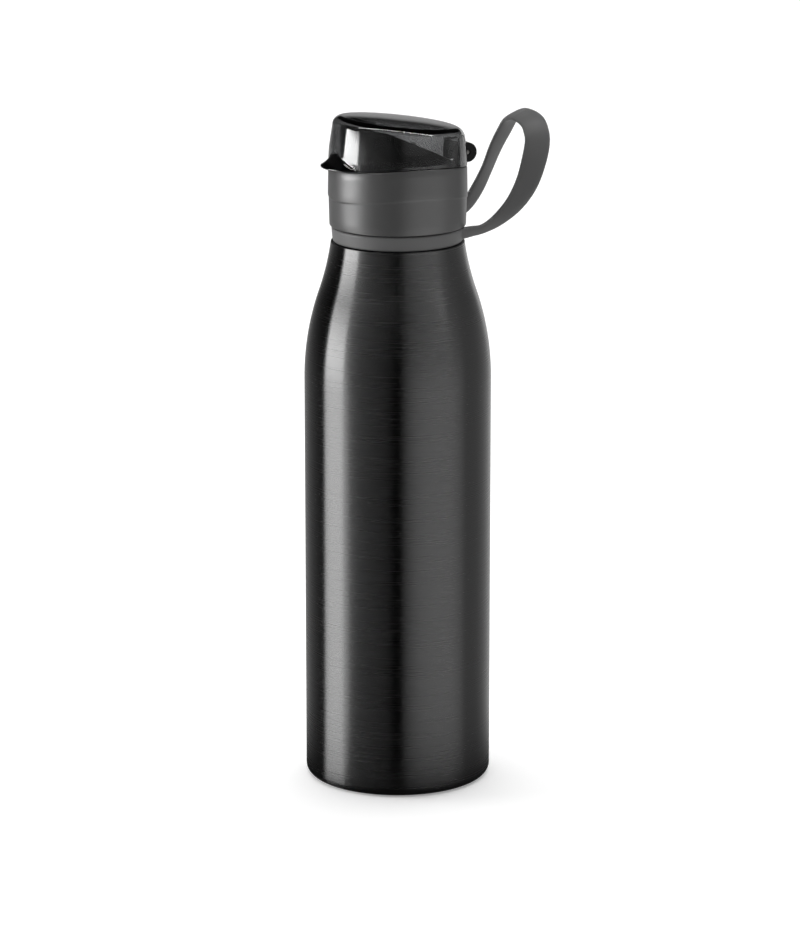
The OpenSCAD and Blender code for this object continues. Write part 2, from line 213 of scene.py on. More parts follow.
def soften(obj, width):
    """Rounds the form's sharp edges a little, so that they catch the light."""
    edge = obj.modifiers.new("edge", "BEVEL")
    edge.width, edge.segments, edge.limit_method = width * MM, 2, "ANGLE"
    edge.angle_limit = math.radians(SHARP)
    bpy.context.view_layer.update()
    return evaluated(obj)


# %% [markdown]
# ## The camera
# The bottle is seen from its left front, a little from above. A short lens would spread its
# foot and its cap, so a long one is used from far away, which keeps the sides almost parallel.

# %% Camera
# Angles in degrees, the distance in metres and the lens in millimetres
CAMERA_AZIMUTH = 65
CAMERA_RISE = 14.2
CAMERA_FAR = 1.48
CAMERA_LENS = 159.7
AIM_RIGHT = 0.8 * MM
AIM_UP = 111.9 * MM


def around(azimuth, distance, height):
    """A point round the bottle, by its angle from the camera's own direction."""
    a = math.radians(CAMERA_AZIMUTH + azimuth)
    return Vector((math.sin(a) * distance, -math.cos(a) * distance, height))


def look(thing, target):
    thing.rotation_euler = (target - thing.location).to_track_quat("-Z", "Y").to_euler()


rise = math.radians(CAMERA_RISE)
aim = around(90, AIM_RIGHT, AIM_UP)
camera = bpy.data.objects.new("camera", bpy.data.cameras.new("camera"))
bpy.context.scene.collection.objects.link(camera)
camera.data.lens = CAMERA_LENS
camera.location = aim + around(0, CAMERA_FAR * math.cos(rise), CAMERA_FAR * math.sin(rise))
look(camera, aim)
bpy.context.scene.camera = camera
bpy.context.scene.view_settings.view_transform = "Standard"
print("camera at", [round(v, 3) for v in camera.location])

# %% [markdown]
# ## Lamps
# A wide, weak sun stands for the ceiling of the studio and a softbox stands at each side.
# Light from the world alone would be as soft, but it would leave the loop and the cap flat.
# Reflections don't show these lamps. They show the cards of the next step in their stead.

# %% Lamps
SOFTBOX = (0.3, 0.5)
LAMPS_AIM = Vector((0, 0, 0.12))


def place_lamp(name, kind, where, power, **settings):
    """A lamp that lights the bottle and shows neither directly nor in reflections."""
    data = bpy.data.lights.new(name, kind)
    data.energy = power
    for key, value in settings.items():
        setattr(data, key, value)
    lamp = bpy.data.objects.new(name, data)
    bpy.context.scene.collection.objects.link(lamp)
    lamp.location = where
    look(lamp, LAMPS_AIM)
    lamp.visible_glossy = lamp.visible_camera = lamp.visible_transmission = False
    print("lamp", name)


place_lamp("ceiling_light", "SUN", around(180, 0.6, 1.4), 2.1, angle=math.radians(80))
for name, azimuth, power in (("left_softbox", -95, 2.6), ("right_softbox", 130, 1.1)):
    place_lamp(name, "AREA", around(azimuth, 0.6, 0.14), power, shape="RECTANGLE",
               size=SOFTBOX[0], size_y=SOFTBOX[1])

# %% [markdown]
# ## What the bottle mirrors
# A dark, glossy object shows its surroundings more than its own colour. On a studio table
# these are a tall soft light at the left, dark flags beside the camera and white cards at
# the right. They could stand in the scene as planes, but they would have to be moved by
# trial. Here they are painted on the inside of a far dome that only reflections see, as
# rows of tones round the bottle, one row above the other.

# %% Tones of the cards
# Each pair is an angle from the camera's direction, to the right, and a brightness. The low
# cards are seen in upright walls, the middle ones in the lid and the high ones in rims.
LOW_CARDS = [(-180, 0.5), (-150, 0.34), (-125, 0.2), (-112, 0.1), (-102, 0.13), (-99, 2.5),
             (-66, 2.5), (-63, 0.4), (-49, 0.26), (-39, 0.2), (-29, 0.17), (-12, 0.1),
             (-5, 0.004), (3, 0.004), (6, 0.15), (12, 0.45), (19, 0.72), (29, 1.0), (45, 1.1),
             (70, 1.1), (84, 0.9), (93, 0.4), (115, 0.33), (133, 0.45), (160, 0.7), (180, 0.5)]
MIDDLE_CARDS = [(-180, 0.4), (-172, 0.4), (-165, 0.05), (-102, 0.02), (-99, 15.5), (-72, 15.5),
                (-68, 1.6), (-60, 1.0), (-50, 0.35), (-20, 0.12), (-4, 0.003), (4, 0.003),
                (15, 0.15), (45, 0.25), (80, 0.25), (110, 0.4), (145, 0.35), (152, 0.9),
                (166, 0.9), (172, 0.4), (180, 0.4)]
HIGH_CARDS = [(-180, 0.01), (-100, 0.01), (-60, 0.3), (-20, 0.1), (-5, 0.003), (5, 0.003),
              (15, 0.3), (45, 0.6), (80, 0.6), (110, 0.3), (150, 0.01), (180, 0.01)]
TOP_CARDS = [(-180, 0.01), (180, 0.01)]
# Each row takes over from the one below it between two rises, in degrees.
ROWS_ABOVE = ((MIDDLE_CARDS, -6, -3), (HIGH_CARDS, 5, 9), (TOP_CARDS, 30, 38))
BRIGHTEST = 16
DOME_R = 20


def paint(ramp, cards):
    """Sets a ramp's stops to the cards' tones. The ramp runs from -180 to 180 degrees."""
    stops = ramp.elements
    while len(stops) > 1:
        stops.remove(stops[-1])
    for n, (turn, tone) in enumerate(cards):
        stop = stops[0] if n == 0 else stops.new(turn / 360 + 0.5)
        stop.position = turn / 360 + 0.5
        stop.color = (*[tone / BRIGHTEST] * 3, 1)
    print(len(stops), "tones in a row")


def rising(degrees):
    """How high a direction points, on a ball of radius 1, at a rise in degrees."""
    return math.sin(math.radians(degrees))


# %% The dome's rows
dome, tree = bare_material("reflection_cards")
place = add(tree, "ShaderNodeTexCoord").outputs["Object"]
facing = add(tree, "ShaderNodeMapping", values={"Rotation": (0, 0, math.radians(90 - CAMERA_AZIMUTH))},
             links={"Vector": place})
angle = add(tree, "ShaderNodeTexGradient", {"gradient_type": "RADIAL"},
            links={"Vector": facing.outputs[0]}).outputs["Fac"]
way = add(tree, "ShaderNodeVectorMath", {"operation": "NORMALIZE"}, links={0: place}).outputs[0]
climb = add(tree, "ShaderNodeSeparateXYZ", links={"Vector": way}).outputs["Z"]
row = add(tree, "ShaderNodeValToRGB", links={"Fac": angle})
paint(row.color_ramp, LOW_CARDS)
tone = row.outputs["Color"]
for cards, low, high in ROWS_ABOVE:
    row = add(tree, "ShaderNodeValToRGB", links={"Fac": angle})
    paint(row.color_ramp, cards)
    share = add(tree, "ShaderNodeMapRange", values={"From Min": rising(low), "From Max": rising(high)},
                links={"Value": climb})
    tone = add(tree, "ShaderNodeMix", {"data_type": "RGBA"},
               links={0: share.outputs[0], 6: tone, 7: row.outputs["Color"]}).outputs[2]
glow = add(tree, "ShaderNodeEmission", values={"Strength": BRIGHTEST}, links={"Color": tone})

# %% [markdown]
# ## A lamp's reflection painted over the table
# A long, narrow strip is painted on the dome where a lamp would hang across the table, over
# the bottle. It is a painted reflection that only reflections show, and it draws the thin line
# along the lid's rim. Its edges run straight across the table, so they are found from how far
# ahead a direction leans for its height, and not from its angle round the bottle.

# %% The dome's strip
# Between which leans each long edge fades, and between which rises the lower end does
STRIP_NEAR, STRIP_FAR = (0.06, 0.08), (0.2, 0.22)
STRIP_FOOT = (38, 42)
STRIP_STRENGTH = 12
ahead = add(tree, "ShaderNodeVectorMath", {"operation": "DOT_PRODUCT"}, {1: around(0, 1, 0)}, {0: way})
lean = add(tree, "ShaderNodeMath", {"operation": "DIVIDE"},
           links={0: ahead.outputs["Value"], 1: climb}).outputs[0]
strength = add(tree, "ShaderNodeMapRange", values={
    "From Min": rising(STRIP_FOOT[0]), "From Max": rising(STRIP_FOOT[1]), "To Max": STRIP_STRENGTH},
    links={"Value": climb}).outputs[0]
for (start, end), before, after in ((STRIP_NEAR, 0, 1), (STRIP_FAR, 1, 0)):
    side = add(tree, "ShaderNodeMapRange", links={"Value": lean}, values={
        "From Min": start, "From Max": end, "To Min": before, "To Max": after})
    strength = add(tree, "ShaderNodeMath", {"operation": "MULTIPLY"},
                   links={0: strength, 1: side.outputs[0]}).outputs[0]
# The strip is painted light: a glow on the dome that stands for a lamp's reflection and lights nothing.
strip_glow = add(tree, "ShaderNodeEmission", links={"Strength": strength})
both = add(tree, "ShaderNodeAddShader", links={0: glow.outputs[0], 1: strip_glow.outputs[0]})
add(tree, "ShaderNodeOutputMaterial", links={"Surface": both.outputs[0]})
dome.cycles.emission_sampling = "NONE"

# %% The dome


def stage_piece(bm, name, material, reflections_only=False):
    """Part of the studio, not of the bottle. Some of it shows in reflections only."""
    thing = new_object(bm, name)
    thing.data.materials.append(material)
    if reflections_only:
        thing.visible_camera = thing.visible_diffuse = thing.visible_shadow = False
        thing.visible_transmission = thing.visible_volume_scatter = False
    thing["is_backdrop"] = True
    print("stage", name)
    return thing


bm = bmesh.new()
bmesh.ops.create_uvsphere(bm, u_segments=96, v_segments=48, radius=DOME_R)
stage_piece(bm, "reflection_cards", dome, reflections_only=True)

# %% [markdown]
# ## The table in the foot's reflection
# Near its foot the bottle mirrors the table, which its own shadow darkens. The paper below
# is hidden from reflections, so a disc that only they see stands for that shadow. It is
# dark under the bottle and fades out round it.

# %% The dark table round the foot
SHADE_START, SHADE_END, SHADE_R = 0.036, 0.095, 0.13
SHADE_STRENGTH = 0.03
shade, tree = bare_material("foot_shadow")
place = add(tree, "ShaderNodeTexCoord").outputs["Object"]
away = add(tree, "ShaderNodeVectorMath", {"operation": "LENGTH"}, links={0: place})
fade = add(tree, "ShaderNodeMapRange", values={"From Min": SHADE_START, "From Max": SHADE_END},
           links={"Value": away.outputs["Value"]})
dark = add(tree, "ShaderNodeEmission", values={"Strength": SHADE_STRENGTH})
clear = add(tree, "ShaderNodeBsdfTransparent")
faded = add(tree, "ShaderNodeMixShader", links={0: fade.outputs[0], 1: dark.outputs[0], 2: clear.outputs[0]})
add(tree, "ShaderNodeOutputMaterial", links={"Surface": faded.outputs[0]})
bm = bmesh.new()
bmesh.ops.create_circle(bm, cap_ends=True, segments=64, radius=SHADE_R)
stage_piece(bm, "foot_shadow", shade, reflections_only=True)

# %% [markdown]
# ## White surroundings
# The room and the paper on the table are white to the camera, and to rays that pass through
# the lid. The light that falls on the bottle from them is weaker, so that colours render as
# they are written. The paper glows a little for the camera and still takes a soft shadow.

# %% Room and floor
ROOM_LIGHT, PAPER_GLOW, FLOOR_R = 0.4, 0.24, 6


def seen_directly(tree, low, high):
    """A strength for rays from the camera, reflections and clear pieces, and one for the rest."""
    path = add(tree, "ShaderNodeLightPath").outputs
    seen = path["Is Camera Ray"]
    for kind_of_ray in ("Is Glossy Ray", "Is Transmission Ray"):
        seen = add(tree, "ShaderNodeMath", {"operation": "MAXIMUM"},
                   links={0: seen, 1: path[kind_of_ray]}).outputs[0]
    strength = add(tree, "ShaderNodeMapRange", values={"To Min": low, "To Max": high}, links={"Value": seen})
    return strength.outputs[0]


world = bpy.data.worlds.new("white_room")
world.use_nodes = True
bpy.context.scene.world = world
tree = world.node_tree
tree.nodes.clear()
room = add(tree, "ShaderNodeBackground", values={"Color": (1, 1, 1, 1)},
           links={"Strength": seen_directly(tree, ROOM_LIGHT, 1.0)})
add(tree, "ShaderNodeOutputWorld", links={"Surface": room.outputs[0]})

bm = bmesh.new()
bmesh.ops.create_circle(bm, cap_ends=True, segments=64, radius=FLOOR_R)
paper, tree, shader = new_material("white_paper", {
    "Base Color": linear("#f2f2f2"), "Roughness": 1.0, "Specular IOR Level": 0.0,
    "Emission Color": (1, 1, 1, 1)})
tree.links.new(seen_directly(tree, 0.0, PAPER_GLOW), shader.inputs["Emission Strength"])
floor = stage_piece(bm, "floor", paper)
floor.visible_glossy = False

# %% [markdown]
# ## Grain and gloss
# Every moulded surface has two things in common: a grain as fine as its tool left it, and
# patches that are a little glossier than others. Both are noises in real size. One drives
# the bump and the other the roughness.

# %% Helpers for surfaces


def grain(tree, shader, per_metre, strength, depth):
    """A fine bump, with so many grains in a metre."""
    place = add(tree, "ShaderNodeTexCoord").outputs["Object"]
    noise = add(tree, "ShaderNodeTexNoise", values={"Scale": per_metre, "Detail": 2.0},
                links={"Vector": place})
    bump = add(tree, "ShaderNodeBump", values={"Strength": strength, "Distance": depth * MM},
               links={"Height": noise.outputs["Fac"]})
    tree.links.new(bump.outputs["Normal"], shader.inputs["Normal"])


def uneven_gloss(tree, shader, per_metre, detail, low, high):
    """A roughness that goes from low to high in patches, with so many in a metre."""
    place = add(tree, "ShaderNodeTexCoord").outputs["Object"]
    noise = add(tree, "ShaderNodeTexNoise", values={"Scale": per_metre, "Detail": detail},
                links={"Vector": place})
    rough = add(tree, "ShaderNodeMapRange", values={"To Min": low, "To Max": high},
                links={"Value": noise.outputs["Fac"]})
    tree.links.new(rough.outputs[0], shader.inputs["Roughness"])


# %% [markdown]
# ## Brushed, black anodised aluminium
# The bottle is drawn aluminium, brushed round and round and then anodised black. Brushing
# leaves fine scratches round the wall, so a reflection stays sharp sideways and is drawn
# out up and down. A stretched noise gives the scratches, and anisotropy does the rest.
# Anisotropy alone would be cheaper, but the wall would look too even for brushed metal.

# %% Anodised aluminium
anodised, tree, shader = new_material("anodised_aluminium", {
    "Base Color": linear("#585858"), "Metallic": 1.0, "Roughness": 0.27,
    "Anisotropic": 1.0, "Anisotropic Rotation": 0.25})
place = add(tree, "ShaderNodeTexCoord").outputs["Object"]
# Scratches lie 0.4 mm apart up the wall and run for about 50 mm round it.
stretch = add(tree, "ShaderNodeMapping", values={"Scale": (20, 20, 2500)}, links={"Vector": place})
scratches = add(tree, "ShaderNodeTexNoise", values={"Scale": 1.0, "Detail": 2.0},
                links={"Vector": stretch.outputs[0]}).outputs["Fac"]
bump = add(tree, "ShaderNodeBump", values={"Strength": 0.01, "Distance": 0.05 * MM},
           links={"Height": scratches})
tree.links.new(bump.outputs["Normal"], shader.inputs["Normal"])
rough = add(tree, "ShaderNodeMapRange", links={"Value": scratches}, values={
    "From Min": 0.3, "From Max": 0.7, "To Min": 0.25, "To Max": 0.28})
tree.links.new(rough.outputs[0], shader.inputs["Roughness"])
round_axis = add(tree, "ShaderNodeTangent", {"direction_type": "RADIAL", "axis": "Z"})
tree.links.new(round_axis.outputs[0], shader.inputs["Tangent"])

# %% [markdown]
# ## The screw thread
# The cap's thread runs in the groove of the neck's. Each ridge is a small trapezium, which
# one spin carries round the axis and lifts by one pitch a turn. Its ends then run out into
# the wall, as a cut thread's do, by drawing their points in towards the root.

# %% Thread
THREAD_PITCH = 3.5
THREAD_TURNS = 2
# Height of each ridge out of its wall, and its lowest and highest point at its start
NECK_THREAD = (0.7, 201.8, 203.0)
CAP_THREAD = (-0.55, 203.4, 204.9)


def thread(radius, ridge, steps=64):
    """A thread's ridge on a wall of the given radius. A negative height points inwards."""
    out, low, high = ridge
    root, flank = radius - 0.25 * out, 0.45
    bm = bmesh.new()
    outline = ((root, low), (radius + out, low + flank), (radius + out, high - flank), (root, high))
    verts = [bm.verts.new((r * MM, 0, z * MM)) for r, z in outline]
    face = bm.faces.new(verts)
    bmesh.ops.spin(bm, geom=list(face.edges) + verts + [face], cent=(0, 0, 0), axis=(0, 0, 1),
                   angle=TURN * THREAD_TURNS, dvec=(0, 0, THREAD_PITCH * MM / steps),
                   steps=steps * THREAD_TURNS)
    bmesh.ops.remove_doubles(bm, verts=bm.verts, dist=MERGE)
    # The ridge sinks into the wall towards both its ends.
    for v in bm.verts:
        share = (v.co.z / MM - (low + high) / 2) / (THREAD_PITCH * THREAD_TURNS)
        run_out = min(1, max(0.02, 12 * share + 0.3), max(0.02, 12 * (1 - share) + 0.3))
        r = math.hypot(v.co.x, v.co.y)
        scale = (root * MM + (r - root * MM) * run_out) / r
        v.co.x *= scale
        v.co.y *= scale
    bmesh.ops.recalc_face_normals(bm, faces=bm.faces)
    return bm


# %% [markdown]
# ## The bottle's body
# One tube is drawn, its shoulder is pressed in and its rim is rolled. It is a shape of
# revolution, so its outline is drawn once, outside and inside, and spun round the axis. The
# shoulder is two arcs that meet in a tangent, so a highlight runs over it without a kink.

# %% Body
BODY_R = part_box("bottle_shell")[1].x / MM
RIM_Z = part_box("bottle_shell")[1].z / MM
WALL, BEAD = 0.9, 0.9
STRAIGHT_H, LEDGE_Z = 145.8, 194.6
SHOULDER_TOP_R, NECK_R, LEAN = 23.5, 20.2, 8
LEDGE_EDGE, NECK_FILLET = 0.9, 0.4
BASE_ROUND, FOOT_W, DOME_H = 3.2, 5, 4
# The straight wall has a ring of edges every 8 mm, up to where the shoulder starts.
WALL_RINGS = [8 + 8 * i for i in range(17)]


def shoulder(inset, steps=18):
    """The shoulder's two arcs, which have one radius, for the outside or an inset wall."""
    high = LEDGE_Z - STRAIGHT_H
    narrowing = (BODY_R - SHOULDER_TOP_R) / high
    lean = math.radians(LEAN)
    reach = (1 + math.cos(lean) + narrowing * math.sin(lean)) / 2
    turn = math.atan(narrowing) + math.acos(reach / math.sqrt(1 + narrowing ** 2))
    radius = high / (2 * math.sin(turn) - math.sin(lean))
    low_r = BODY_R - radius
    top_r = low_r + 2 * radius * math.cos(turn)
    top_z = STRAIGHT_H + 2 * radius * math.sin(turn)
    degrees = math.degrees(turn)
    convex = arc(low_r, STRAIGHT_H, radius - inset, 0, degrees, steps)
    concave = arc(top_r, top_z, radius + inset, 180 + degrees, 180 + LEAN, steps)
    return convex + concave[1:]


dome_edge = BODY_R - BASE_ROUND - FOOT_W
dome_r = (dome_edge ** 2 + DOME_H ** 2) / (2 * DOME_H)
dome_turn = math.degrees(math.asin(dome_edge / dome_r))
base = arc(0, DOME_H - dome_r, dome_r, 90, 90 - dome_turn, 12)
inner_base = arc(0, DOME_H - dome_r, dome_r + WALL, 90 - dome_turn, 90, 12)
bead = arc(NECK_R - WALL / 2, RIM_Z - BEAD, BEAD, -60, 180, 12)
outside = (base + arc(BODY_R - BASE_ROUND, BASE_ROUND, BASE_ROUND, -90, 0, 8)
           + [(BODY_R, z) for z in WALL_RINGS] + shoulder(0)
           + [(SHOULDER_TOP_R - LEDGE_EDGE, LEDGE_Z), (NECK_R + NECK_FILLET, LEDGE_Z),
              (NECK_R, LEDGE_Z + NECK_FILLET)] + bead)
inside = ([(NECK_R - WALL, LEDGE_Z - 0.5), (NECK_R - WALL + 0.6, LEDGE_Z - WALL)]
          + [(r, z) for r, z in reversed(shoulder(WALL)) if z < LEDGE_Z - 1.5]
          + arc(BODY_R - BASE_ROUND, BASE_ROUND, BASE_ROUND - WALL, 0, -90, 6) + inner_base)
bm = join(lathe(outside + inside), thread(NECK_R, NECK_THREAD))
make_piece(bm, "bottle_body", anodised, "bottle", ["bottle_shell"])

# %% [markdown]
# ## Shapes that are round below and arched above
# The sleeve and the lid are round, but the line where they part is an arch. They could be
# cut from tubes with a curved tool, but the cut would leave an uneven mesh along the line.
# Here a circle is extruded upwards row by row. Each row says how far out and how high a
# point lies at its own angle, so that a row can be level, tilted or arched.

# %% Rows round the axis
CAP_R = 24.26
CAP_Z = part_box("cap_sleeve")[0].z / MM
ARCH_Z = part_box("cap_sleeve")[1].z / MM
ARCH_R, ARCH_SHIFT, CREASE_DROP = 118, 2, 10.6


def arch(y, drop=0):
    """Height of the arch that parts the cap from the lid, at a place across the hinge."""
    return ARCH_Z - ARCH_R + math.sqrt((ARCH_R - drop) ** 2 - (y + ARCH_SHIFT) ** 2)


def level(r, z):
    """A level row."""
    return lambda turn: (r, z)


def arched(r, drop):
    """A row that lies below the arch by the drop, or above it where the drop is negative."""
    return lambda turn: (r, arch(r * math.sin(turn)) - drop)


def place_row(verts, row):
    for v in verts:
        turn = math.atan2(v.co.y, v.co.x)
        r, z = row(turn)
        v.co = Vector((r * math.cos(turn), r * math.sin(turn), z)) * MM


def rise_by_rows(rows):
    """Extrudes a circle through the rows. Returns the bmesh and its first and last edges."""
    bm = bmesh.new()
    bmesh.ops.create_circle(bm, segments=ROUND, radius=1)
    place_row(bm.verts, rows[0])
    first = edges = bm.edges[:]
    for row in rows[1:]:
        grown = bmesh.ops.extrude_edge_only(bm, edges=edges)["geom"]
        verts = [g for g in grown if isinstance(g, bmesh.types.BMVert)]
        edges = [g for g in grown if isinstance(g, bmesh.types.BMEdge)]
        place_row(verts, row)
    return bm, first + edges


def closed_rows(rows):
    """A closed ring form: the rows run round its section, and the last meets the first."""
    bm, open_edges = rise_by_rows(rows)
    bmesh.ops.bridge_loops(bm, edges=open_edges)
    bmesh.ops.recalc_face_normals(bm, faces=bm.faces)
    return bm


# %% [markdown]
# ## The cap's sleeve
# A grey polypropylene sleeve hides the threaded inner cap. A soft step runs round it under
# the arch and follows it. The moulding is satin, with the fine grain of a spark-eroded tool.

# %% Polypropylene
grey_plastic, tree, shader = new_material("moulded_grey_polypropylene", {
    "Base Color": linear("#424242"), "Roughness": 0.36, "IOR": 1.49, "Specular IOR Level": 0.9})
# Spark erosion leaves a grain of about 0.2 mm. The patches of gloss are 6 mm wide.
grain(tree, shader, 5000, 0.25, 0.03)
uneven_gloss(tree, shader, 160, 4, 0.32, 0.4)

# %% Sleeve
SLEEVE_IN = 22.66
EDGE = 0.4


def low_band(z):
    """Radius of the wall under the crease: it widens by 0.55 mm over the sleeve's height."""
    return CAP_R - 0.3 + 0.55 * (z - CAP_Z) / (ARCH_Z - CAP_Z)


def high_band(z):
    """Radius of the wall over the crease: it narrows by 0.4 mm over the sleeve's height."""
    return CAP_R + 0.4 - 0.4 * (z - CAP_Z) / (ARCH_Z - CAP_Z)


def sleeve_row(share, step, shift=0.0, inset=0.0):
    """A row of the sleeve: below the crease for step 0, above it for step 1."""
    def row(turn):
        y = CAP_R * math.sin(turn)
        crease = arch(y, CREASE_DROP)
        if step < 1:
            z = CAP_Z + EDGE + share * (crease - CAP_Z - EDGE) + shift
        else:
            z = crease + share * (arch(y) - EDGE - crease) + shift
        return low_band(z) + (high_band(z) - low_band(z)) * step - inset, z
    return row


def sleeve_top(r, drop):
    """A row of the sleeve's top edge, whose height follows the cap's outer wall."""
    return lambda turn: (r, arch(CAP_R * math.sin(turn)) - drop)


foot_r, top_r = low_band(CAP_Z), high_band(ARCH_Z)
rows = [level(SLEEVE_IN, CAP_Z + 0.1), level(SLEEVE_IN + 0.1, CAP_Z),
        level(foot_r - EDGE, CAP_Z), level(foot_r - 0.12, CAP_Z + 0.12)]
rows += [sleeve_row(share, 0) for share in (0, 0.25, 0.5, 0.75)]
rows += [sleeve_row(1, 0, -0.7), sleeve_row(1, 0, -0.4), sleeve_row(1, 0.12, -0.2), sleeve_row(1, 0.5, 0),
         sleeve_row(0, 1, 0.2, 0.03), sleeve_row(0, 1, 0.45)]
rows += [sleeve_row(share, 1) for share in (0.25, 0.5, 0.75, 1)]
rows += [sleeve_top(top_r - 0.12, 0.12), sleeve_top(top_r - EDGE, 0), sleeve_top(top_r - 1.4, 0),
         sleeve_top(SLEEVE_IN, 0.15)]
make_piece(closed_rows(rows), "sleeve", grey_plastic, "cap", ["cap_sleeve"], 50)

# %% [markdown]
# ## The strap
# Ring and loop are one silicone moulding. The ring is spun and the loop is a flat band that
# is swept along a curve and twisted as it goes. A curve object with a bevel would sweep it
# too, but its section couldn't change from row to row. The two are welded by a voxel remesh
# and smoothed, which gives the soft fillets where a leg grows out of the ring.

# %% Silicone
silicone, tree, shader = new_material("moulded_grey_silicone", {
    "Base Color": linear("#5c5c5c"), "Roughness": 0.5, "IOR": 1.43,
    "Sheen Weight": 0.08, "Sheen Roughness": 0.4})
# The tool leaves a grain of about 0.3 mm, and the surface blooms in patches of 8 mm.
grain(tree, shader, 3500, 0.2, 0.03)
uneven_gloss(tree, shader, 120, 3, 0.44, 0.58)

# %% The loop's route


def joint_place(name):
    """Where a joint lies, in millimetres."""
    joint = next(j for j in frame["joints"] if j["name"] == name)
    return Vector([p / MM for p in joint["pos_m"]])


RING_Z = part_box("strap_ring")[0].z / MM
RING_H, RING_IN, RING_LOW, RING_TOP = 5.3, 20.5, 22.9, 23.3
LEG_X, BAND_T = 13.25, 2.2
PIVOT = joint_place("strap_swing")
# Each row: x, y and z from the pivot, the band's width, its lean and its twist in degrees.
LOOP_ROWS = [
    (LEG_X, -8, -0.5, 4.6, 0, 0),
    (LEG_X, -4, -0.4, 4.4, 0, 0),
    (LEG_X, 0, 0, 3.9, 0, 0),
    (LEG_X, 4.6, 0.6, 3.5, 0, -3),
    (LEG_X * 1.02, 10.3, 3.5, 4.9, 0, 8),
    (LEG_X * 1.14, 15.7, 8.9, 6.6, 0, 23),
    (LEG_X * 1.2, 20, 15.8, 8.2, 2, 36),
    (LEG_X * 1.15, 23.2, 23.6, 9, 9, 32),
    (LEG_X * 0.97, 25.7, 30.4, 9.1, 22, 24),
    (LEG_X * 0.68, 26.3, 35.1, 9, 45, 21),
    (LEG_X * 0.35, 26.2, 36.9, 8.5, 68, 22),
    (0, 26, 37.4, 8.2, 90, 22),
]
STEPS_A_ROW = 6


def mirrored(row):
    """The same row on the other leg."""
    return (-row[0], row[1], row[2], row[3], 180 - row[4], row[5])


def smooth_route(rows, steps):
    """More rows between the given ones, on a smooth curve through them."""
    found = []
    for i in range(len(rows) - 1):
        a, b, c, d = (rows[min(max(i + k, 0), len(rows) - 1)] for k in (-1, 0, 1, 2))
        for s in range(steps):
            t = s / steps
            found.append([q + t * (r - p) / 2 + t * t * (p - 2.5 * q + 2 * r - w / 2)
                          + t ** 3 * (1.5 * (q - r) + (w - p) / 2) for p, q, r, w in zip(a, b, c, d)])
    return found + [list(rows[-1])]


half = smooth_route(LOOP_ROWS, STEPS_A_ROW)
route = half + [mirrored(r) for r in reversed(half[:-1])]
# The first rows lie inside the ring, up to the pivot.
free = [Vector(r[:3]) for r in route[2 * STEPS_A_ROW:-2 * STEPS_A_ROW]]
print("loop from root to root:", round(sum((b - a).length for a, b in zip(free, free[1:])), 1), "mm")

# %% The band and the weld
SECTION_CORNERS = 20
RING_CORNER, BORE_CORNER = 0.35, 0.3
VOXEL = 0.3


def band_frame(row, along):
    """Where the band's section lies: its width, its thickness and its place."""
    lean, twist = math.radians(row[4]), math.radians(row[5])
    sideways = Vector((math.cos(lean), 0, math.sin(lean)))
    outward = (sideways - along * sideways.dot(along)).normalized()
    back = along.cross(outward)
    wide = (back * math.cos(twist) + outward * math.sin(twist)) * (row[3] / 2)
    thick = (outward * math.cos(twist) - back * math.sin(twist)) * (BAND_T / 2)
    at = PIVOT + Vector(row[:3])
    return Matrix(((wide.x, thick.x, along.x, at.x), (wide.y, thick.y, along.y, at.y),
                   (wide.z, thick.z, along.z, at.z), (0, 0, 0, 1)))


def oval_corner(turn):
    """A corner of the section, which is a flat oval between an ellipse and a rectangle."""
    return Vector([math.copysign(abs(part) ** 0.8, part) for part in (math.cos(turn), math.sin(turn))] + [0])


def sweep_band(bm, rows):
    """Extrudes the section from row to row and closes both ends."""
    places = [Vector(r[:3]) for r in rows]
    frames = []
    for i, row in enumerate(rows):
        ahead, behind = places[min(i + 1, len(rows) - 1)], places[max(i - 1, 0)]
        frames.append(band_frame(row, (ahead - behind).normalized()))
    turns = [TURN * k / SECTION_CORNERS for k in range(SECTION_CORNERS)]
    start = bm.faces.new([bm.verts.new(frames[0] @ oval_corner(turn)) for turn in turns])
    edges = list(start.edges)
    for old, new in zip(frames, frames[1:]):
        grown = bmesh.ops.extrude_edge_only(bm, edges=edges)["geom"]
        edges = [g for g in grown if isinstance(g, bmesh.types.BMEdge)]
        verts = [g for g in grown if isinstance(g, bmesh.types.BMVert)]
        bmesh.ops.transform(bm, matrix=new @ old.inverted(), verts=verts)
    bmesh.ops.contextual_create(bm, geom=edges)


# The strap is shaped in millimetres and scaled to metres at the end.
bm = bmesh.new()
sweep_band(bm, route)
ring_outline = [
    (RING_IN, BORE_CORNER), (RING_IN + BORE_CORNER, 0), (RING_LOW - RING_CORNER, 0),
    (RING_LOW, RING_CORNER), (RING_TOP, RING_H - RING_CORNER), (RING_TOP - RING_CORNER, RING_H),
    (RING_IN + BORE_CORNER, RING_H), (RING_IN, RING_H - BORE_CORNER), (RING_IN, BORE_CORNER)]
ring = lathe([(r, RING_Z + z) for r, z in ring_outline], 128)
bmesh.ops.scale(ring, vec=(1 / MM,) * 3, verts=ring.verts)
join(bm, ring)
bmesh.ops.recalc_face_normals(bm, faces=bm.faces)
strap_form = new_object(bm, "strap_form")
weld = strap_form.modifiers.new("weld", "REMESH")
weld.mode, weld.voxel_size = "VOXEL", VOXEL
bm = evaluated(strap_form)
for _ in range(5):
    bmesh.ops.smooth_vert(bm, verts=bm.verts, factor=0.5, use_axis_x=True, use_axis_y=True, use_axis_z=True)
# Smoothing has eaten into the ring's bore, whose points go back to its radius.
for v in bm.verts:
    out = math.hypot(v.co.x, v.co.y)
    if out < RING_IN + 0.05:
        v.co.x *= RING_IN / out
        v.co.y *= RING_IN / out
bmesh.ops.scale(bm, vec=(MM,) * 3, verts=bm.verts)
strap = make_piece(bm, "strap", silicone, None, ["strap_ring", "strap_loop"], 180)
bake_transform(strap)

